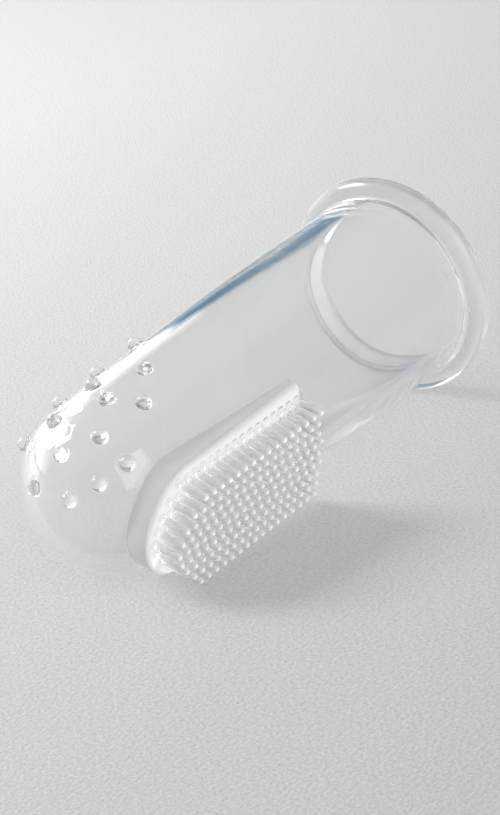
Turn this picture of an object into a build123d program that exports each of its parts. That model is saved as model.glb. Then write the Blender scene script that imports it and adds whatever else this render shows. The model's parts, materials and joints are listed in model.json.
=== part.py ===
"""Finger toothbrush for pets: a clear silicone sleeve that slips over one finger.

The sleeve has a domed tip at one end and a rolled rim round its open mouth. A raised
plinth on one side carries nine rows of round bristles, trimmed to one flat plane, and
small massage nubs are scattered over the tip and the barrel, round from one side of the
bristles to the back.

Sizes are in millimetres. Every piece is first made in the sleeve's own frame: X runs
along its axis from the tip to the mouth, Z points the way the bristles do, and X = 0 is
the middle of the rolled rim. The finished pieces are then laid down as the brush comes
to rest on a table, on its rim, its barrel and the tips of its lowest bristles. There +Z
is up, and the origin is in the middle of the brush's footprint, on the table.
"""

from build123d import *
import math
import os

os.makedirs("parts", exist_ok=True)

# Sleeve
barrel_length = 48.8  # from the middle of the rim to the shoulder, where the dome starts
dome_length = 7.6
mouth_radius = 10.6  # outside, where the barrel meets the rim
shoulder_radius = 8.65  # outside, where the dome starts
wall = 1.3
tip_wall = 1.6  # the dome is thicker at the very tip
bore_length = 14.0  # straight stretch inside the mouth
dome_fullness = 0.56  # length of the dome curve's handles, as a share of the dome

# Rolled rim
rim_proud = 1.9  # how far the rim stands out beyond the barrel
rim_thickness = 2.6
rim_round = 1.2
rim_blend = 0.5  # hollow fillet between the rim and the barrel

# Plinth
plinth_rise = 0.32  # above the barrel's crown, at the plinth's square end
plinth_arch_radius = 14.5  # the top is a shallow arch across at the square end
plinth_nose_rise = 0.55  # above the shoulder's radius, over the tip of the dome
plinth_nose_arch_radius = 120.0  # the arch has all but run out over the tip of the dome
plinth_side_margin = 1.43  # from the outer rows to the plinth's sides, at the square end
plinth_nose_margin = 0.62
plinth_rear_margin = 1.21
plinth_narrowing = 0.25  # of each side, from the square end to the round nose
plinth_corner = 0.55
plinth_edge_round = 0.5
nose_setback = 2.9  # from the tip of the dome back to the plinth's rounded nose

# Bristles
row_pitch = 1.23
bristle_pitch = 1.215
bristle_reach = 2.45  # from the plinth's highest place to the plane of the tips
bristle_root_radius = 0.39
bristle_tip_radius = 0.33  # the end of each bristle is half a ball of this radius
root_depth = 0.2  # how far a bristle is drawn into the plinth before its foot is cut

# Rows of bristles across the plinth: name, number of bristles, and how far the row is
# shifted towards the mouth, as a share of the pitch.
bristle_rows = [
    ("a", 16, 0.06),
    ("b", 17, -0.15),
    ("c", 18, -0.03),
    ("d", 19, 0.48),
    ("e", 19, 0.16),
    ("f", 19, 0.50),
    ("g", 18, 0.16),
    ("h", 17, 0.14),
    ("i", 16, 0.02),
]

# Massage nubs
nub_radius = 0.75  # the top of each nub is half a ball of this radius
nub_height = 0.9
nub_sink = 0.6  # how deep a nub is drawn before its foot is cut to the sleeve's surface

# Rings of nubs: name, distance from the tip along the surface, and angles round the
# axis from the bristle side.
nub_rings = [
    ("tip_nubs", 3.6, [62, 138]),
    ("dome_nubs_inner", 6.8, [54, 98]),
    ("dome_nubs_outer", 10.0, [53, 79, 120, 161]),
    ("shoulder_nubs_front", 14.2, [97, 141]),
    ("shoulder_nubs_rear", 16.0, [78, 119]),
    ("barrel_nubs_front", 20.0, [98, 140]),
    ("barrel_nubs_rear", 25.6, [136]),
]

# Worked out from the sizes above
rim_radius = mouth_radius + rim_proud
rim_half = rim_thickness / 2
bore_radius = mouth_radius - wall
neck_x = -rim_half - rim_blend
shoulder_x = -barrel_length
tip_x = shoulder_x - dome_length
outer_row_y = row_pitch * (len(bristle_rows) - 1) / 2
half_width = outer_row_y + plinth_side_margin
nose_radius = half_width - plinth_narrowing
nose_x = tip_x + nose_setback
longest_row = max(count for name, count, shift in bristle_rows)
front_bristle_x = nose_x + plinth_nose_margin
rear_bristle_x = front_bristle_x + (longest_row - 1) * bristle_pitch
plinth_rear_x = rear_bristle_x + plinth_rear_margin


def draw_wall(start, straight_end, shoulder, tip):
    """Draw one side of the sleeve's wall, from the mouth to the tip, in the open sketch.

    The wall runs straight to straight_end, bends in to the shoulder on one large arc,
    and closes in a dome that meets the axis squarely.
    """
    if straight_end != start:
        Line(start, straight_end)
    barrel = TangentArc(straight_end, shoulder, tangent=(-1, 0))
    slope = barrel % 1
    reach = dome_fullness * (shoulder[0] - tip[0])
    lift = dome_fullness * shoulder[1]
    dome = Bezier(
        shoulder,
        (shoulder[0] + slope.X * reach, shoulder[1] + slope.Y * reach),
        (tip[0], lift),
        tip,
    )
    return barrel, dome


# Finger sleeve: the outside is a blank, which the plinth and the nubs are fitted to
with BuildPart() as sleeve_blank:
    with BuildSketch() as blank_profile:
        with BuildLine() as blank_outline:
            outer_barrel, outer_dome = draw_wall(
                (neck_x, mouth_radius),
                (neck_x, mouth_radius),
                (shoulder_x, shoulder_radius),
                (tip_x, 0),
            )
            Polyline((tip_x, 0), (neck_x, 0), (neck_x, mouth_radius))
        make_face()
    revolve(axis=Axis.X)

with BuildPart() as finger_sleeve:
    add(sleeve_blank.part)
    with BuildSketch() as hollow_profile:
        with BuildLine() as hollow_outline:
            draw_wall(
                (neck_x, bore_radius),
                (neck_x - bore_length, bore_radius),
                (shoulder_x, shoulder_radius - wall),
                (tip_x + tip_wall, 0),
            )
            Polyline((tip_x + tip_wall, 0), (neck_x, 0), (neck_x, bore_radius))
        make_face()
    revolve(axis=Axis.X, mode=Mode.SUBTRACT)


# Rolled rim: a rounded bead with a short neck that meets the sleeve face to face
with BuildPart() as rolled_rim:
    with BuildSketch() as rim_profile:
        with BuildLine():
            Polyline(
                (neck_x, bore_radius),
                (rim_half, bore_radius),
                (rim_half, rim_radius),
                (-rim_half, rim_radius),
                (-rim_half, mouth_radius),
                (neck_x, mouth_radius),
                close=True,
            )
        make_face()
        bead_corners = rim_profile.vertices().group_by(Axis.Y)[-1]
        bead_corners += [rim_profile.vertices().sort_by_distance((rim_half, bore_radius))[0]]
        fillet(bead_corners, rim_round)
        fillet(rim_profile.vertices().sort_by_distance((-rim_half, mouth_radius))[0], rim_blend * 0.9)
    revolve(axis=Axis.X)


# Plinth: square at the mouth end, round at the nose, its top arched at the square end
def barrel_radius_at(x):
    """Outside radius of the barrel at a distance along its axis."""
    crossing = outer_barrel.edge().find_intersection_points(Axis((x, 0, 0), (0, 1, 0)))
    return crossing[0].Y


plinth_crown = barrel_radius_at(plinth_rear_x) + plinth_rise
nose_top = shoulder_radius + plinth_nose_rise
top_ends = [
    (tip_x, nose_top, plinth_nose_arch_radius),
    (plinth_rear_x, plinth_crown, plinth_arch_radius),
]
blank_side = half_width + 1

with BuildPart() as brush_plinth:
    for end_x, crown, arch_radius in top_ends:
        side_top = crown - arch_radius + math.sqrt(arch_radius**2 - blank_side**2)
        with BuildSketch(Plane.YZ.offset(end_x)):
            with BuildLine():
                arch = ThreePointArc((-blank_side, side_top), (0, crown), (blank_side, side_top))
                Polyline(arch @ 1, (blank_side, 0), (-blank_side, 0), arch @ 0)
            make_face()
    loft()
    with BuildSketch() as footprint:
        with BuildLine():
            nose = ThreePointArc(
                (nose_x + nose_radius, nose_radius),
                (nose_x, 0),
                (nose_x + nose_radius, -nose_radius),
            )
            Polyline(
                nose @ 1,
                (plinth_rear_x, -half_width),
                (plinth_rear_x, half_width),
                nose @ 0,
            )
        make_face()
        fillet(footprint.vertices().group_by(Axis.X)[-1], plinth_corner)
    extrude(amount=2 * plinth_crown, mode=Mode.INTERSECT)
    fillet(brush_plinth.faces().sort_by(Axis.Z)[-1].edges(), plinth_edge_round)
    add(sleeve_blank.part, mode=Mode.SUBTRACT)


# Bristles: each row is one node of separate round pins, trimmed to one plane
tip_ball_z = plinth_crown + bristle_reach - bristle_tip_radius
root_z = nose_top - root_depth
shaft = tip_ball_z - root_z
taper_angle = math.degrees(math.atan2(bristle_root_radius - bristle_tip_radius, shaft))


def build_bristle_row(y, count, shift):
    """One row of bristles along the plinth at y, from the mouth end to the nose end."""
    spots = [(rear_bristle_x + (shift - k) * bristle_pitch, y) for k in range(count)]
    with BuildPart() as bristle_row:
        with BuildSketch(Plane.XY.offset(root_z)):
            with Locations(*spots):
                Circle(bristle_root_radius)
        extrude(amount=shaft, taper=taper_angle)
        with Locations(*[(x, y, tip_ball_z) for x, y in spots]):
            Sphere(bristle_tip_radius)
        add([brush_plinth.part, sleeve_blank.part], mode=Mode.SUBTRACT)
    return bristle_row


row_parts = []
for row_number, (row_name, count, shift) in enumerate(bristle_rows):
    row_y = outer_row_y - row_number * row_pitch
    row_parts.append(("bristle_row_" + row_name, build_bristle_row(row_y, count, shift)))


# Massage nubs: low round studs that stand square on the sleeve's surface
def nub_plane(from_tip, angle):
    """Plane on the sleeve's surface, from_tip along it, turned by angle from the bristles."""
    if from_tip < outer_dome.length:
        edge = outer_dome.edge()
        share = 1 - from_tip / outer_dome.length
    else:
        edge = outer_barrel.edge()
        share = 1 - (from_tip - outer_dome.length) / outer_barrel.length
    foot = edge @ share
    along = edge % share
    turn = math.radians(angle)
    spoke = Vector(0, math.sin(turn), math.cos(turn))
    outward = Vector(along.Y, 0, 0) + spoke * -along.X
    return Plane(origin=Vector(foot.X, 0, 0) + spoke * foot.Y, z_dir=outward)


def build_nub_ring(planes):
    """One ring of nubs, each with its foot cut to the sleeve's surface."""
    ball_height = nub_height - nub_radius
    with BuildPart() as nub_ring:
        with Locations(*[Location(plane.offset(-nub_sink)) for plane in planes]):
            Cylinder(nub_radius, nub_sink + ball_height, align=(Align.CENTER, Align.CENTER, Align.MIN))
        with Locations(*[Location(plane.offset(ball_height)) for plane in planes]):
            Sphere(nub_radius)
        add(sleeve_blank.part, mode=Mode.SUBTRACT)
    return nub_ring


ring_planes = []
for ring_name, from_tip, angles in nub_rings:
    ring_planes.append((ring_name, [nub_plane(from_tip, angle) for angle in angles]))
ring_parts = [(name, build_nub_ring(planes)) for name, planes in ring_planes]


# Lying down: the brush rests on its rim, on its barrel, and on the tip of a bristle
def tilt_on(x, radius, ball):
    """Tilt of the axis at which a ball at x, this far below the axis, reaches the table."""
    rise = rim_radius - rim_round - radius
    return math.acos((ball - rim_round) / math.hypot(rise, x)) - math.atan2(-x, rise)


def roll_on(x, y, z):
    """Roll from bristles straight down at which a bristle's tip reaches the table."""
    drop = (axis_height + x * math.sin(tilt) - bristle_tip_radius) / math.cos(tilt)
    return math.atan2(y, z) + math.acos(drop / math.hypot(y, z))


outline_points = [outer_barrel @ (n / 200) for n in range(201)]
outline_points += [outer_dome @ (n / 200) for n in range(200)]
nub_balls = [plane.offset(nub_height - nub_radius).origin for name, planes in ring_planes for plane in planes]
tip_balls = []
for row_number, (name, count, shift) in enumerate(bristle_rows):
    for k in range(count):
        bristle_x = rear_bristle_x + (shift - k) * bristle_pitch
        tip_balls.append((bristle_x, row_number * row_pitch - outer_row_y, tip_ball_z))

# The tilt and the roll depend a little on each other, so they are settled in turns
roll = math.radians(75)
for turn in range(20):
    tilts = [tilt_on(point.X, point.Y, 0) for point in outline_points]
    for ball in nub_balls:
        below_axis = ball.Z * math.cos(roll) - ball.Y * math.sin(roll)
        tilts.append(tilt_on(ball.X, below_axis, nub_radius))
    tilt = min(tilts)
    axis_height = (rim_radius - rim_round) * math.cos(tilt) + rim_round
    roll = max(roll_on(*ball) for ball in tip_balls)

down = Vector(
    -math.sin(tilt),
    -math.cos(tilt) * math.sin(roll),
    math.cos(tilt) * math.cos(roll),
)
table = Plane(
    origin=down * axis_height,
    x_dir=Vector(1, 0, 0) - down * down.X,
    z_dir=-down,
)

pieces = [
    ("finger_sleeve", finger_sleeve),
    ("rolled_rim", rolled_rim),
    ("brush_plinth", brush_plinth),
]
pieces += row_parts
pieces += ring_parts

lying = table.location.inverse()
laid_box = Compound([piece.part.moved(lying) for name, piece in pieces]).bounding_box()
centring = Location((-laid_box.center().X, -laid_box.center().Y, 0))
resting_place = centring * lying

for name, piece in pieces:
    piece.part.label = name
    piece.part.location = resting_place
    export_step(piece.part, "parts/" + name + ".step")
    print(name, len(piece.part.solids()), "solids")

print("tilt", round(math.degrees(tilt), 3), "roll", round(math.degrees(roll), 3))
print("plinth crown", round(plinth_crown, 3), "tip plane", round(plinth_crown + bristle_reach, 3))
print("lying box", laid_box.size, "lowest", round(laid_box.min.Z, 4))
print("rim middle", resting_place.position)
print("mouth direction", resting_place.x_axis.direction)
print("bristle direction", resting_place.z_axis.direction)
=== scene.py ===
"""A clear silicone finger toothbrush for pets, lying on a pale table.

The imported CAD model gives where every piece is. The moulded body is rebuilt here as one
seamless clear mesh with blended edges, because a clear moulding shows any inner seam,
and each row of bristles is rebuilt with soft roots and small natural differences.
"""

import json
import math
import random

import bmesh
import bpy
import numpy as np
from mathutils import Matrix, Vector


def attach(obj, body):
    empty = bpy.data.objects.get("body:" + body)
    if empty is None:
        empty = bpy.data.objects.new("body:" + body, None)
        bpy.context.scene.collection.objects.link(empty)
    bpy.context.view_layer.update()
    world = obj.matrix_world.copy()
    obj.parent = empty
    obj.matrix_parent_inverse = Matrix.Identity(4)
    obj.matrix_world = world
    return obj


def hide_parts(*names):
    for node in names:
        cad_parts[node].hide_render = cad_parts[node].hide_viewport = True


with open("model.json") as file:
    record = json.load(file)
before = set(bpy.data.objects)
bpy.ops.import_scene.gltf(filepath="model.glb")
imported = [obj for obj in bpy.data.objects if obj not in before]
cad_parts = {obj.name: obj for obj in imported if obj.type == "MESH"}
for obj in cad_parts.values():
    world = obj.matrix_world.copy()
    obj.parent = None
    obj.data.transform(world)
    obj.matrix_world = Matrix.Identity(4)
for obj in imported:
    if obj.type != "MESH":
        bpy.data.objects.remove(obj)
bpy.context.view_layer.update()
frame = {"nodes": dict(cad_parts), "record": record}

MM = 0.001

# The sleeve, as the CAD model has it (millimetres, in the sleeve's own frame: X runs
# along its axis towards the mouth from the middle of the rim, Z the way bristles point)
BARREL_LENGTH = 48.8
DOME_LENGTH = 7.6
MOUTH_RADIUS = 10.6
SHOULDER_RADIUS = 8.65
WALL = 1.3
TIP_WALL = 1.6
BORE_LENGTH = 14.0
DOME_FULLNESS = 0.56
RIM_PROUD = 1.9
RIM_HALF = 1.3
RIM_ROUND = 1.2
RIM_BLEND = 0.5
PLINTH_RISE = 0.32
PLINTH_ARCH_RADIUS = 14.5
PLINTH_NOSE_RISE = 0.55
PLINTH_NOSE_ARCH_RADIUS = 120.0
PLINTH_SIDE_MARGIN = 1.43
PLINTH_NOSE_MARGIN = 0.62
PLINTH_REAR_MARGIN = 1.21
PLINTH_NARROWING = 0.25
PLINTH_CORNER = 0.55
NOSE_SETBACK = 2.9
ROW_PITCH = 1.23
BRISTLE_PITCH = 1.215
BRISTLE_REACH = 2.45
ROOT_RADIUS = 0.39
TIP_RADIUS = 0.33
BRISTLE_ROWS = [
    ("a", 16, 0.06),
    ("b", 17, -0.15),
    ("c", 18, -0.03),
    ("d", 19, 0.48),
    ("e", 19, 0.16),
    ("f", 19, 0.50),
    ("g", 18, 0.16),
    ("h", 17, 0.14),
    ("i", 16, 0.02),
]
ROOT_SINK = 0.08
# How far up a bristle's shaft, from 0 to 1, and how much its root widens it there
ROOT_FLARE = [(0, 0.16), (0.04, 0.09), (0.09, 0.03), (0.16, 0), (0.4, 0), (0.7, 0), (1, 0)]
HEIGHT_SPREAD = 0.05
LEAN_SPREAD = 0.025
GIRTH_SPREAD = 0.03
FIRST_ROW_SEED = 100
NUB_RADIUS = 0.75
NUB_HEIGHT = 0.9
NUB_SINK = 0.5
NUB_RINGS = [
    ("tip_nubs", 3.6, [62, 138]),
    ("dome_nubs_inner", 6.8, [54, 98]),
    ("dome_nubs_outer", 10.0, [53, 79, 120, 161]),
    ("shoulder_nubs_front", 14.2, [97, 141]),
    ("shoulder_nubs_rear", 16.0, [78, 119]),
    ("barrel_nubs_front", 20.0, [98, 140]),
    ("barrel_nubs_rear", 25.6, [136]),
]

# How milky the silicone is drawn, and how pale its milk is, each from 0 to 1; on the rim, the plinth and
# the bristle tips the milk is painted light
CLEAR = (0.0, 0.0)
# The rim is drawn milky with painted light: a pale painted highlight on its lip and back, and grey painted
# shade on its front face
RIM_LIP_PAINTED_HIGHLIGHT = (0.28, 0.9)
RIM_FACE_PAINTED_SHADE = (0.42, 0.1)
RIM_BACK_PAINTED_HIGHLIGHT = (0.26, 1.0)
NUB_LOOK = (0.3, 1.0)
# The plinth is drawn milky with painted light: grey painted shade on its steep wall and a pale painted
# highlight along its rounded top edge
PLINTH_WALL_PAINTED_SHADE = (0.5, 0.15)
PLINTH_EDGE_PAINTED_HIGHLIGHT = (0.6, 1.0)
BRISTLE_ROOT_LOOK = (0.08, 0.3)
BRISTLE_SHAFT_LOOK = (0.32, 0.3)
BRISTLE_NECK_LOOK = (0.32, 0.0)
# The bristle tips are drawn milky white, a painted glow for light piped along each clear bristle
BRISTLE_TIP_PAINTED_GLOW = (1.0, 1.0)
SILICONE_IOR = 1.41

neck_x = -RIM_HALF - RIM_BLEND
tip_x = -BARREL_LENGTH - DOME_LENGTH
rim_radius = MOUTH_RADIUS + RIM_PROUD
bore_radius = MOUTH_RADIUS - WALL
outer_row_y = ROW_PITCH * (len(BRISTLE_ROWS) - 1) / 2
half_width = outer_row_y + PLINTH_SIDE_MARGIN
nose_radius = half_width - PLINTH_NARROWING
nose_x = tip_x + NOSE_SETBACK
longest_row = max(count for letter, count, shift in BRISTLE_ROWS)
rear_bristle_x = nose_x + PLINTH_NOSE_MARGIN + (longest_row - 1) * BRISTLE_PITCH
plinth_rear_x = rear_bristle_x + PLINTH_REAR_MARGIN
nose_top = SHOULDER_RADIUS + PLINTH_NOSE_RISE


# The sleeve's own frame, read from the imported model
def node_points(name):
    """Every vertex of a CAD node, in metres."""
    vertices = frame["nodes"][name].data.vertices
    points = np.empty(len(vertices) * 3)
    vertices.foreach_get("co", points)
    return points.reshape(-1, 3)


bore = frame["record"]["mounts"][0]
axis = Vector(bore["axis"]).normalized()
on_axis = Vector(bore["pos_m"])
rim_front = max(node_points("rolled_rim") @ np.array(axis))
rim_middle = on_axis + axis * (rim_front - RIM_HALF * MM - on_axis.dot(axis))
brush_middle = Vector(node_points("bristle_row_e").mean(0)) - rim_middle
bristle_way = (brush_middle - axis * brush_middle.dot(axis)).normalized()
sideways = bristle_way.cross(axis)
sleeve_turn = Matrix((axis, sideways, bristle_way)).transposed().to_4x4()
sleeve_frame = Matrix.Translation(rim_middle) @ sleeve_turn @ Matrix.Scale(MM, 4)


# Camera
CAMERA_AZIMUTH = math.radians(48.84)
CAMERA_ELEVATION = math.radians(20.86)
CAMERA_ROLL = math.radians(-8.01)
CAMERA_DISTANCE = 0.23575
CAMERA_LENS = 102.47
aim = Vector((-0.00074, -0.0012, 0.00896))

forward = Vector(
    (
        math.cos(CAMERA_ELEVATION) * math.sin(CAMERA_AZIMUTH),
        math.cos(CAMERA_ELEVATION) * math.cos(CAMERA_AZIMUTH),
        -math.sin(CAMERA_ELEVATION),
    )
)
level = forward.cross(Vector((0, 0, 1))).normalized()
right = level * math.cos(CAMERA_ROLL) + level.cross(forward) * math.sin(CAMERA_ROLL)
camera_data = bpy.data.cameras.new("camera")
camera_data.lens = CAMERA_LENS
camera_data.sensor_width = 36
camera_data.clip_start = 0.01
camera = bpy.data.objects.new("camera", camera_data)
camera_axes = Matrix((right, right.cross(forward), -forward)).transposed().to_4x4()
camera.matrix_world = Matrix.Translation(aim - forward * CAMERA_DISTANCE) @ camera_axes
bpy.context.scene.collection.objects.link(camera)
bpy.context.scene.camera = camera


# Mesh helpers
def shade_smooth(mesh_data):
    """Shade every face of a mesh as part of one smooth surface."""
    for polygon in mesh_data.polygons:
        polygon.use_smooth = True


def new_piece(name, mesh_data, material):
    """A new smooth object with one material, its mesh already in the model's frame."""
    shade_smooth(mesh_data)
    piece = bpy.data.objects.new(name, mesh_data)
    bpy.context.scene.collection.objects.link(piece)
    piece.data.materials.append(material)
    return piece


def mesh_from(name, vertices, faces):
    """A mesh of points in the sleeve's frame, moved into the model's frame."""
    mesh_data = bpy.data.meshes.new(name)
    mesh_data.from_pydata([tuple(v) for v in vertices], [], faces)
    mesh_data.transform(sleeve_frame)
    build = bmesh.new()
    build.from_mesh(mesh_data)
    bmesh.ops.remove_doubles(build, verts=build.verts, dist=1e-7)
    bmesh.ops.recalc_face_normals(build, faces=build.faces)
    build.to_mesh(mesh_data)
    build.free()
    return mesh_data


def ring_faces(rings, around):
    """Faces that join rings of points, each with the same number of points round it."""
    faces = []
    for ring in range(rings - 1):
        first = ring * around
        second = first + around
        for n in range(around):
            m = (n + 1) % around
            faces.append((first + n, first + m, second + m, second + n))
    return faces


# Profile of the sleeve
def wall_line(mouth_x, straight_x, mouth_radius, shoulder_radius, end_x, barrel_steps, dome_steps):
    """Points of one side of the wall, from the mouth to the tip."""
    run = BARREL_LENGTH + straight_x
    drop = mouth_radius - shoulder_radius
    bend = (run**2 + drop**2) / (2 * drop)
    points = [(mouth_x, mouth_radius)] if mouth_x != straight_x else []
    for n in range(barrel_steps + 1):
        along = run * n / barrel_steps
        points.append((straight_x - along, mouth_radius - bend + math.sqrt(bend**2 - along**2)))
    slope = Vector((-math.sqrt(bend**2 - run**2), -run)).normalized()
    start = Vector((-BARREL_LENGTH, shoulder_radius))
    reach = DOME_FULLNESS * (-BARREL_LENGTH - end_x)
    handles = [
        start,
        start + slope * reach,
        Vector((end_x, DOME_FULLNESS * shoulder_radius)),
        Vector((end_x, 0)),
    ]
    for n in range(1, dome_steps + 1):
        t = n / dome_steps
        s = 1 - t
        weights = (s**3, 3 * s * s * t, 3 * s * t * t, t**3)
        points.append(tuple(sum((h * w for h, w in zip(handles, weights)), Vector((0, 0)))))
    return points


def arc(centre, radius, start, end, steps):
    """Points on an arc, angles in degrees."""
    points = []
    for n in range(steps + 1):
        turn = math.radians(start + (end - start) * n / steps)
        points.append((centre[0] + radius * math.cos(turn), centre[1] + radius * math.sin(turn)))
    return points


outer_line = wall_line(neck_x, neck_x, MOUTH_RADIUS, SHOULDER_RADIUS, tip_x, 60, 40)
inner_line = wall_line(
    neck_x,
    neck_x - BORE_LENGTH,
    bore_radius,
    SHOULDER_RADIUS - WALL,
    tip_x + TIP_WALL,
    50,
    40,
)
rim_line = arc((RIM_HALF - RIM_ROUND, bore_radius + RIM_ROUND), RIM_ROUND, -90, 0, 12)
rim_line += arc((RIM_HALF - RIM_ROUND, rim_radius - RIM_ROUND), RIM_ROUND, 0, 90, 12)
rim_line += arc((RIM_ROUND - RIM_HALF, rim_radius - RIM_ROUND), RIM_ROUND, 90, 180, 12)
rim_line += arc((neck_x, MOUTH_RADIUS + RIM_BLEND), RIM_BLEND, 0, -90, 8)[:-1]


def barrel_radius_at(x):
    """Outside radius of the sleeve at a place along its axis."""
    return float(np.interp(-x, [-p[0] for p in outer_line], [p[1] for p in outer_line]))


plinth_crown = barrel_radius_at(plinth_rear_x) + PLINTH_RISE


def arch_top(crown, radius, y):
    """Height of a shallow arch beside its middle."""
    return crown - radius + math.sqrt(radius**2 - y**2)


def plinth_top_at(x, y):
    """Height of the plinth's top, an arch that runs out flat towards the nose."""
    share = (x - tip_x) / (plinth_rear_x - tip_x)
    rear = arch_top(plinth_crown, PLINTH_ARCH_RADIUS, y)
    front = arch_top(nose_top, PLINTH_NOSE_ARCH_RADIUS, y)
    return front + (rear - front) * share


def sleeve_top_at(x, y):
    """Height of the sleeve's outside over a point beside its axis."""
    return math.sqrt(max(barrel_radius_at(x) ** 2 - y**2, 0))


def sleeve_mesh():
    """The sleeve and its rolled rim, spun as one closed wall."""
    around = 160
    profile = inner_line[::-1] + rim_line + outer_line
    vertices = []
    for x, radius in profile:
        for n in range(around):
            turn = 2 * math.pi * n / around
            vertices.append((x, radius * math.sin(turn), radius * math.cos(turn)))
    return mesh_from("sleeve", vertices, ring_faces(len(profile), around))


def footprint():
    """Outline of the plinth from above, as (point, middle point, outward direction)."""
    centre = Vector((nose_x + nose_radius, 0))
    corner_centre = Vector((plinth_rear_x - PLINTH_CORNER, half_width - PLINTH_CORNER))
    side_start = Vector((nose_x + nose_radius, nose_radius))
    side_end = Vector((corner_centre.x, half_width))
    side_way = Vector((side_start.y - side_end.y, side_end.x - side_start.x)).normalized()
    nose_steps = 24
    side_steps = 40
    corner_steps = 8
    rear_steps = 8
    half = []
    for n in range(nose_steps + 1):
        turn = math.pi - math.pi / 2 * n / nose_steps
        way = Vector((math.cos(turn), math.sin(turn)))
        half.append((centre + way * nose_radius, centre, way))
    for n in range(1, side_steps):
        point = side_start.lerp(side_end, n / side_steps)
        half.append((point, Vector((point.x, 0)), side_way))
    for n in range(corner_steps + 1):
        turn = math.pi / 2 * (1 - n / corner_steps)
        way = Vector((math.cos(turn), math.sin(turn)))
        half.append((corner_centre + way * PLINTH_CORNER, Vector((corner_centre.x, 0)), way))
    for n in range(1, rear_steps):
        y = corner_centre.y * (1 - n / rear_steps)
        half.append((Vector((plinth_rear_x, y)), Vector((corner_centre.x, 0)), Vector((1, 0))))
    back = (Vector((plinth_rear_x, 0)), Vector((corner_centre.x, 0)), Vector((1, 0)))
    mirrored = [(Vector((p.x, -p.y)), m, Vector((w.x, -w.y))) for p, m, w in half[1:]]
    return half + [back] + mirrored[::-1]


def plinth_mesh():
    """The plinth with a rounded top edge and a small hollow fillet at its foot."""
    top_round = 0.5
    top_steps = 8
    foot_fillet = 0.2
    foot_steps = 6
    sunk = 0.5
    outline = footprint()
    rings = []
    for share in (0.0, 0.15, 0.35, 0.6, 0.85, 1.0):
        ring = [m + (p - m) * share for p, m, w in outline]
        rings.append([(q.x, q.y, sleeve_top_at(q.x, q.y) - sunk) for q in ring])
    outer_ring = [p + w * foot_fillet for p, m, w in outline]
    rings.append([(q.x, q.y, sleeve_top_at(q.x, q.y) - sunk) for q in outer_ring])
    for n in range(foot_steps + 1):
        turn = math.radians(90 * n / foot_steps)
        step_out = foot_fillet * (1 - math.sin(turn))
        lift = foot_fillet * (1 - math.cos(turn))
        ring = [p + w * step_out for p, m, w in outline]
        rings.append([(q.x, q.y, sleeve_top_at(q.x, q.y) + lift) for q in ring])
    for n in range(top_steps + 1):
        turn = math.radians(90 * n / top_steps)
        step_in = top_round * (1 - math.cos(turn))
        drop = top_round * (1 - math.sin(turn))
        ring = [p - w * step_in for p, m, w in outline]
        rings.append([(q.x, q.y, plinth_top_at(q.x, q.y) - drop) for q in ring])
    for share in (0.9, 0.75, 0.5, 0.25, 0.0):
        ring = [m + (p - m) * share for p, m, w in outline]
        rings.append([(q.x, q.y, plinth_top_at(q.x, q.y)) for q in ring])
    vertices = [point for ring in rings for point in ring]
    return mesh_from("plinth", vertices, ring_faces(len(rings), len(outline)))


# Nubs
def nub_place(from_tip, angle):
    """Foot and outward direction of a nub, from_tip along the sleeve's outside."""
    line = outer_line[::-1]
    walked = 0
    for n in range(len(line) - 1):
        first = Vector(line[n])
        second = Vector(line[n + 1])
        step = (second - first).length
        if walked + step >= from_tip:
            break
        walked += step
    foot = first.lerp(second, (from_tip - walked) / step)
    along = (second - first).normalized()
    turn = math.radians(angle)
    spoke = Vector((0, math.sin(turn), math.cos(turn)))
    outward = Vector((-along.y, 0, 0)) + spoke * along.x
    return Vector((foot.x, 0, 0)) + spoke * foot.y, outward


def nub_mesh(foot, outward):
    """A low stud with a half-ball top and a small hollow fillet round its foot."""
    around = 36
    fillet = 0.16
    fillet_steps = 5
    fillet_sunk = 0.02
    skirt_height = -0.06
    ball_steps = 12
    ball = NUB_HEIGHT - NUB_RADIUS
    skirt = NUB_RADIUS + fillet
    profile = [(0, -NUB_SINK), (skirt, -NUB_SINK), (skirt, skirt_height)]
    for n in range(1, fillet_steps + 1):
        turn = math.radians(90 * n / fillet_steps)
        height = fillet * (1 - math.cos(turn)) - fillet_sunk
        profile.append((NUB_RADIUS + fillet * (1 - math.sin(turn)), height))
    for n in range(1, ball_steps + 1):
        turn = math.radians(90 * n / ball_steps)
        profile.append((NUB_RADIUS * math.cos(turn), ball + NUB_RADIUS * math.sin(turn)))
    first_side = outward.orthogonal().normalized()
    second_side = outward.cross(first_side)
    vertices = []
    for radius, height in profile:
        for n in range(around):
            turn = 2 * math.pi * n / around
            side = first_side * math.cos(turn) + second_side * math.sin(turn)
            vertices.append(foot + side * radius + outward * height)
    return mesh_from("nub", vertices, ring_faces(len(profile), around))


# Bristles
def bristle_profile(root_z, tip_z, girth):
    """Radii and heights of one bristle, from the middle of its root to its tip."""
    tip_steps = 7
    shaft = tip_z - TIP_RADIUS - root_z
    profile = [(0, root_z)]
    for share, flare in ROOT_FLARE:
        radius = ROOT_RADIUS + (TIP_RADIUS - ROOT_RADIUS) * share + flare
        profile.append((radius * girth, root_z + shaft * share))
    for n in range(1, tip_steps + 1):
        turn = math.radians(90 * n / tip_steps)
        height = tip_z - TIP_RADIUS * (1 - math.sin(turn))
        profile.append((TIP_RADIUS * girth * math.cos(turn), height))
    return profile


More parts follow.
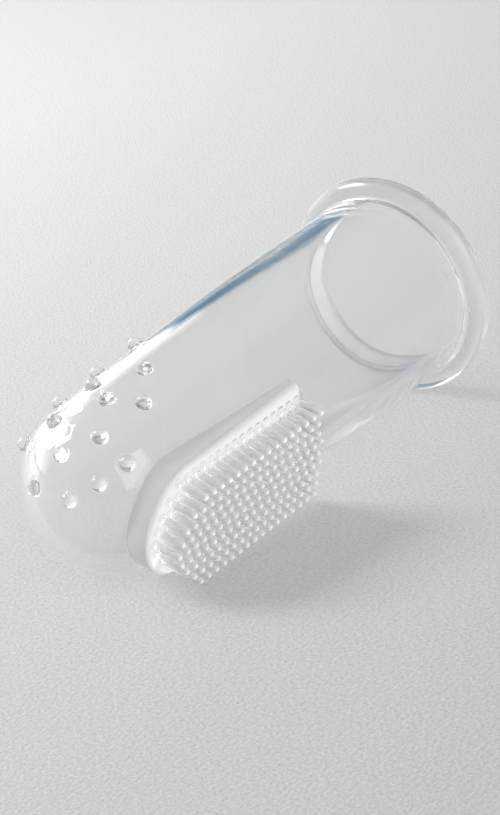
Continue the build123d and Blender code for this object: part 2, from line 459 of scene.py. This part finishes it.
def bristle_row_mesh(name, row_number, count, shift):
    """One row of round bristles with soft roots and small natural differences."""
    around = 20
    dice = random.Random(FIRST_ROW_SEED + row_number)
    y = outer_row_y - row_number * ROW_PITCH
    vertices = []
    faces = []
    for k in range(count):
        x = rear_bristle_x + (shift - k) * BRISTLE_PITCH
        root_z = max(plinth_top_at(x, y), sleeve_top_at(x, y)) - ROOT_SINK
        tip_z = plinth_crown + BRISTLE_REACH - dice.uniform(0, HEIGHT_SPREAD)
        lean_x = dice.uniform(-LEAN_SPREAD, LEAN_SPREAD)
        lean_y = dice.uniform(-LEAN_SPREAD, LEAN_SPREAD)
        girth = 1 + dice.uniform(-GIRTH_SPREAD, GIRTH_SPREAD)
        profile = bristle_profile(root_z, tip_z, girth)
        start = len(vertices)
        for radius, z in profile:
            rise = (z - root_z) / (tip_z - TIP_RADIUS - root_z)
            for n in range(around):
                turn = 2 * math.pi * n / around
                vertices.append(
                    (
                        x + lean_x * rise + radius * math.cos(turn),
                        y + lean_y * rise + radius * math.sin(turn),
                        z,
                    )
                )
        for face in ring_faces(len(profile), around):
            faces.append([start + corner for corner in face])
    return mesh_from(name, vertices, faces)


def paint(piece, look_at):
    """Write how milky and how pale the silicone is at each vertex of a piece.

    look_at gives both for a place in the sleeve's frame.
    """
    back = sleeve_frame.inverted()
    looks = [look_at(back @ vertex.co) for vertex in piece.data.vertices]
    for number, name in enumerate(("milk", "pale")):
        layer = piece.data.attributes.new(name, "FLOAT", "POINT")
        layer.data.foreach_set("value", [look[number] for look in looks])


# Materials
def material_nodes(name):
    """A new material with an empty node tree."""
    material = bpy.data.materials.new(name)
    material.use_nodes = True
    tree = material.node_tree
    tree.nodes.clear()
    return material, tree


def add_node(tree, kind, inputs, output=None, **settings):
    """Add a node, make its settings, feed its inputs and give back the named output.

    An input, named or numbered, is fed with a plain value or with another node's output.
    """
    node = tree.nodes.new("ShaderNode" + kind)
    for setting, value in settings.items():
        setattr(node, setting, value)
    for socket, value in inputs.items():
        if isinstance(value, bpy.types.NodeSocket):
            tree.links.new(value, node.inputs[socket])
        else:
            node.inputs[socket].default_value = value
    return node.outputs[output] if output else None


def noise(tree, scale, detail):
    """A cloudy pattern through space, finer where scale is larger."""
    place = add_node(tree, "NewGeometry", {}, "Position")
    return add_node(tree, "TexNoise", {"Vector": place, "Scale": scale, "Detail": detail}, "Fac")


def map_range(tree, value, old, new, **settings):
    """A value carried from one range over to another."""
    ends = {"From Min": old[0], "From Max": old[1], "To Min": new[0], "To Max": new[1]}
    return add_node(tree, "MapRange", {"Value": value, **ends}, "Result", **settings)


def bumpy(tree, height, strength, distance):
    """A surface's direction, made uneven by a pattern of heights."""
    inputs = {"Height": height, "Strength": strength, "Distance": distance}
    return add_node(tree, "Bump", inputs, "Normal")


def mix_colours(tree, share, first, second):
    """A colour between two others."""
    return add_node(tree, "Mix", {"Factor": share, "A": first, "B": second}, "Result", data_type="RGBA")


def mix_shaders(tree, share, first, second):
    """A surface between two others."""
    return add_node(tree, "MixShader", {"Fac": share, 1: first, 2: second}, "Shader")


def clear_surface(tree, haze, tint, roughness):
    """Clear glossy silicone with a faint ripple, rougher where the haze is thicker."""
    inputs = {
        "Base Color": tint,
        "Transmission Weight": 1.0,
        "IOR": SILICONE_IOR,
        "Roughness": map_range(tree, haze, (0.3, 0.7), (roughness * 0.6, roughness * 1.5)),
        "Normal": bumpy(tree, noise(tree, 320.0, 2.0), 0.06, 0.00002),
    }
    return add_node(tree, "BsdfPrincipled", inputs, "BSDF")


def milky_surface(tree, haze, grey, pale):
    """Milky silicone that glows through, from grey to pale as its mesh says."""
    paleness = add_node(tree, "Attribute", {}, "Fac", attribute_name="pale")
    uneven = add_node(tree, "Math", {0: haze, 1: 0.3, 2: -0.15}, "Value", operation="MULTIPLY_ADD")
    shade = add_node(tree, "Math", {0: paleness, 1: uneven}, "Value", operation="ADD", use_clamp=True)
    tone = mix_colours(tree, shade, grey, pale)
    skin_inputs = {"Base Color": tone, "Roughness": 0.3, "IOR": SILICONE_IOR}
    skin = add_node(tree, "BsdfPrincipled", skin_inputs, "BSDF")
    glow = add_node(tree, "BsdfTranslucent", {"Color": tone}, "BSDF")
    return mix_shaders(tree, 0.65, skin, glow)


def clear_silicone(name, tint, roughness, veil, shadow, dense, grey, pale):
    """Clear moulded silicone, faintly uneven, that turns milky where its mesh says so; on the rim, the
    plinth and the bristle tips this milk is painted shade and painted highlight.

    tint and roughness are the clear surface's, and grey and pale are the two ends of the
    milk's colour. A shadow keeps the light that shadow says through clear silicone and
    dense through milky silicone, and a diffuse ray keeps veil.
    """
    material, tree = material_nodes(name)
    haze = noise(tree, 180.0, 4.0)
    milk = add_node(tree, "Attribute", {}, "Fac", attribute_name="milk")
    clear = clear_surface(tree, haze, tint, roughness)
    milky = milky_surface(tree, haze, grey, pale)
    seen = mix_shaders(tree, milk, clear, milky)

    shadow_ray = add_node(tree, "LightPath", {}, "Is Shadow Ray")
    diffuse_ray = add_node(tree, "LightPath", {}, "Is Diffuse Ray")
    kept_light = mix_colours(tree, shadow_ray, veil, mix_colours(tree, milk, shadow, dense))
    passed = add_node(tree, "BsdfTransparent", {"Color": kept_light}, "BSDF")
    either_ray = add_node(tree, "Math", {0: shadow_ray, 1: diffuse_ray}, "Value", operation="MAXIMUM")
    add_node(tree, "OutputMaterial", {"Surface": mix_shaders(tree, either_ray, seen, passed)})
    return material


def floor_material():
    """Pale matte table top with a fine grain and painted light: a little paler towards +Y, behind the
    brush, and darker towards -Y.
    """
    material, tree = material_nodes("pale_table")
    grain = noise(tree, 2700.0, 3.0)
    tone = tree.nodes.new("ShaderNodeValToRGB")
    tone.color_ramp.elements[0].position = 0.3
    tone.color_ramp.elements[0].color = (0.55, 0.548, 0.548, 1)
    tone.color_ramp.elements[1].position = 0.7
    tone.color_ramp.elements[1].color = (0.675, 0.675, 0.677, 1)
    tree.links.new(grain, tone.inputs["Fac"])
    # Painted light: the table's colour is scaled up towards +Y and down towards -Y, a painted fall-off of
    # the light across the table
    place = add_node(tree, "NewGeometry", {}, "Position")
    slope = add_node(tree, "VectorMath", {0: place, 1: (-0.1, 1.5, 0)}, "Value", operation="DOT_PRODUCT")
    fade = map_range(tree, slope, (-0.2, 0.2), (0.735, 1.135))
    faded_inputs = {0: tone.outputs["Color"], "Scale": fade}
    inputs = {
        "Base Color": add_node(tree, "VectorMath", faded_inputs, "Vector", operation="SCALE"),
        "Roughness": 0.8,
        "Normal": bumpy(tree, grain, 0.5, 0.0002),
    }
    add_node(tree, "OutputMaterial", {"Surface": add_node(tree, "BsdfPrincipled", inputs, "BSDF")})
    return material


sleeve_look = clear_silicone(
    "clear_silicone",
    tint=(0.99, 0.992, 0.994, 1),
    roughness=0.05,
    veil=(0.985, 0.985, 0.985, 1),
    shadow=(0.975, 0.975, 0.975, 1),
    dense=(0.5, 0.495, 0.49, 1),
    # The grey is the colour of the painted shade on the plinth wall and rim face, the pale that of the
    # painted highlights on the plinth edge and rim
    grey=(0.71, 0.74, 0.77, 1),
    pale=(0.97, 0.975, 0.98, 1),
)
bristle_look = clear_silicone(
    "bristle_silicone",
    tint=(0.99, 0.99, 0.99, 1),
    roughness=0.12,
    veil=(0.98, 0.98, 0.98, 1),
    shadow=(0.9, 0.895, 0.88, 1),
    dense=(0.85, 0.84, 0.82, 1),
    grey=(0.88, 0.88, 0.87, 1),
    # The pale is the white of the painted glow at the bristle tips, and tints the shafts a little
    pale=(1.0, 1.0, 0.99, 1),
)


# Moulded body
def unite(piece, part_mesh):
    """Join another closed mesh to a piece, with nothing left inside."""
    part = bpy.data.objects.new("part", part_mesh)
    bpy.context.scene.collection.objects.link(part)
    union = piece.modifiers.new("union", "BOOLEAN")
    union.operation = "UNION"
    union.solver = "EXACT"
    union.object = part
    bpy.context.view_layer.update()
    depsgraph = bpy.context.evaluated_depsgraph_get()
    united = bpy.data.meshes.new_from_object(piece.evaluated_get(depsgraph))
    piece.modifiers.clear()
    piece.data = united
    bpy.data.objects.remove(part)


nub_places = [nub_place(from_tip, angle) for name, from_tip, angles in NUB_RINGS for angle in angles]


def body_look(place):
    """Where the moulding is drawn milky: the nubs' tops, the rim's bead with a pale painted highlight on
    its lip and back and grey painted shade on its front face, and the plinth with grey painted shade on
    its wall and a pale painted highlight on its top edge.
    """
    lip_out = -0.2
    face_out = 0.45
    back_out = 0.2
    nub_reach = 1.2
    nub_foot = 0.15
    plinth_lowest_z = 6.1
    plinth_skirt = 0.3
    edge_depth = 0.4
    slack = 0.02
    if place.x > -RIM_HALF:
        out = (math.hypot(place.y, place.z) - MOUTH_RADIUS) / RIM_PROUD
        # Painted light on the rim: pale painted highlight on the lip and back, grey painted shade on the
        # front face
        if place.x > 0 and out < face_out:
            return RIM_LIP_PAINTED_HIGHLIGHT if out < lip_out else RIM_FACE_PAINTED_SHADE
        return RIM_BACK_PAINTED_HIGHLIGHT if out > back_out else CLEAR
    for foot, outward in nub_places:
        from_foot = place - foot
        if from_foot.length < nub_reach and from_foot.dot(outward) > nub_foot:
            return NUB_LOOK
    if place.z < plinth_lowest_z or abs(place.y) > half_width + plinth_skirt:
        return CLEAR
    above = place.z - sleeve_top_at(place.x, place.y)
    below = plinth_top_at(place.x, place.y) - place.z
    if above < slack or below < -slack:
        return CLEAR
    # Painted light on the plinth: grey painted shade on its wall, a pale painted highlight along its top
    # edge
    return PLINTH_WALL_PAINTED_SHADE if below > edge_depth else PLINTH_EDGE_PAINTED_HIGHLIGHT


def bristle_look_at(place):
    """Bristles are clearest at their roots, hazy along their shafts and milky white at their tips, a
    painted glow for the light piped along each bristle.
    """
    root_end = 0.18
    shaft_end = 0.8
    neck_end = 0.9
    rise = (place.z - nose_top) / (plinth_crown + BRISTLE_REACH - TIP_RADIUS - nose_top)
    if rise < root_end:
        return BRISTLE_ROOT_LOOK
    if rise < shaft_end:
        return BRISTLE_SHAFT_LOOK
    # Painted glow: the tips are drawn milky white for the light piped along each bristle
    return BRISTLE_NECK_LOOK if rise < neck_end else BRISTLE_TIP_PAINTED_GLOW


body = new_piece("silicone_body", sleeve_mesh(), sleeve_look)
unite(body, plinth_mesh())
for foot, outward in nub_places:
    unite(body, nub_mesh(foot, outward))
shade_smooth(body.data)
paint(body, body_look)
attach(body, "root")
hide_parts("finger_sleeve", "rolled_rim", "brush_plinth", *[ring[0] for ring in NUB_RINGS])

for row_number, (row_letter, count, shift) in enumerate(BRISTLE_ROWS):
    row_name = "bristle_row_" + row_letter
    row = new_piece(row_name + "_soft", bristle_row_mesh(row_name, row_number, count, shift), bristle_look)
    paint(row, bristle_look_at)
    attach(row, "root")
    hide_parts(row_name)


# Table and lights
def add_floor():
    """A plain pale table top under the brush."""
    mesh_data = bpy.data.meshes.new("table_top")
    build = bmesh.new()
    bmesh.ops.create_grid(build, x_segments=8, y_segments=8, size=1.5)
    build.to_mesh(mesh_data)
    build.free()
    floor = bpy.data.objects.new("table_top", mesh_data)
    bpy.context.scene.collection.objects.link(floor)
    floor.data.materials.append(floor_material())


def add_softbox(name, place, size, power, colour):
    """A rectangular soft light aimed at the brush."""
    light = bpy.data.lights.new(name, "AREA")
    light.shape = "RECTANGLE"
    light.size = size[0]
    light.size_y = size[1]
    light.energy = power
    light.color = colour
    lamp = bpy.data.objects.new(name, light)
    lamp.location = place
    lamp.rotation_euler = (aim - Vector(place)).to_track_quat("-Z", "Y").to_euler()
    bpy.context.scene.collection.objects.link(lamp)


def far_off(azimuth, elevation, distance):
    """A place this far from the brush, azimuth in degrees from +Y towards +X."""
    turn = math.radians(azimuth)
    rise = math.radians(elevation)
    across = distance * math.cos(rise)
    return (across * math.sin(turn), across * math.cos(turn), distance * math.sin(rise))


def add_card(name, place, size, colour, lower, upper):
    """A glowing card that faces the brush, with the strengths of its lower and upper edge."""
    mesh_data = bpy.data.meshes.new(name)
    build = bmesh.new()
    bmesh.ops.create_grid(build, x_segments=4, y_segments=4, size=0.5)
    bmesh.ops.scale(build, vec=(size[0], size[1], 1), verts=build.verts)
    build.to_mesh(mesh_data)
    build.free()
    card = bpy.data.objects.new(name, mesh_data)
    card.location = place
    card.rotation_euler = (aim - Vector(place)).to_track_quat("Z", "Y").to_euler()
    bpy.context.scene.collection.objects.link(card)
    material, tree = material_nodes(name)
    on_card = add_node(tree, "TexCoord", {}, "Object")
    height = add_node(tree, "SeparateXYZ", {"Vector": on_card}, "Y")
    edges = (-size[1] / 2, size[1] / 2)
    fade = map_range(tree, height, edges, (lower, upper), interpolation_type="SMOOTHSTEP")
    glow = add_node(tree, "Emission", {"Color": colour, "Strength": fade}, "Emission")
    add_node(tree, "OutputMaterial", {"Surface": glow})
    card.data.materials.append(material)


add_floor()
add_softbox(
    "key_softbox",
    far_off(azimuth=-13, elevation=40, distance=0.62),
    size=(0.26, 0.22),
    power=3.5,
    colour=(1.0, 1.0, 0.995),
)
add_softbox(
    "fill_softbox",
    far_off(azimuth=186, elevation=27, distance=1.1),
    size=(1.0, 0.8),
    power=5.4,
    colour=(1.0, 0.998, 0.99),
)
add_card(
    "window_card",
    far_off(azimuth=4, elevation=18, distance=1.2),
    size=(1.66, 0.68),
    colour=(1.0, 1.0, 0.995, 1),
    lower=2.7,
    upper=0.95,
)
add_card(
    "blue_card",
    far_off(azimuth=54, elevation=8, distance=1.0),
    size=(0.56, 0.34),
    colour=(0.1, 0.65, 1.14, 1),
    lower=0.2,
    upper=0.28,
)
world = bpy.data.worlds.new("studio")
bpy.context.scene.world = world
world.use_nodes = True
background = world.node_tree.nodes["Background"]
background.inputs["Color"].default_value = (0.92, 0.92, 0.92, 1)
background.inputs["Strength"].default_value = 0.35

scene = bpy.context.scene
scene.view_settings.view_transform = "Standard"
scene.cycles.use_denoising = True
scene.cycles.max_bounces = 32
scene.cycles.diffuse_bounces = 8
scene.cycles.glossy_bounces = 32
scene.cycles.transmission_bounces = 32
scene.cycles.transparent_max_bounces = 32
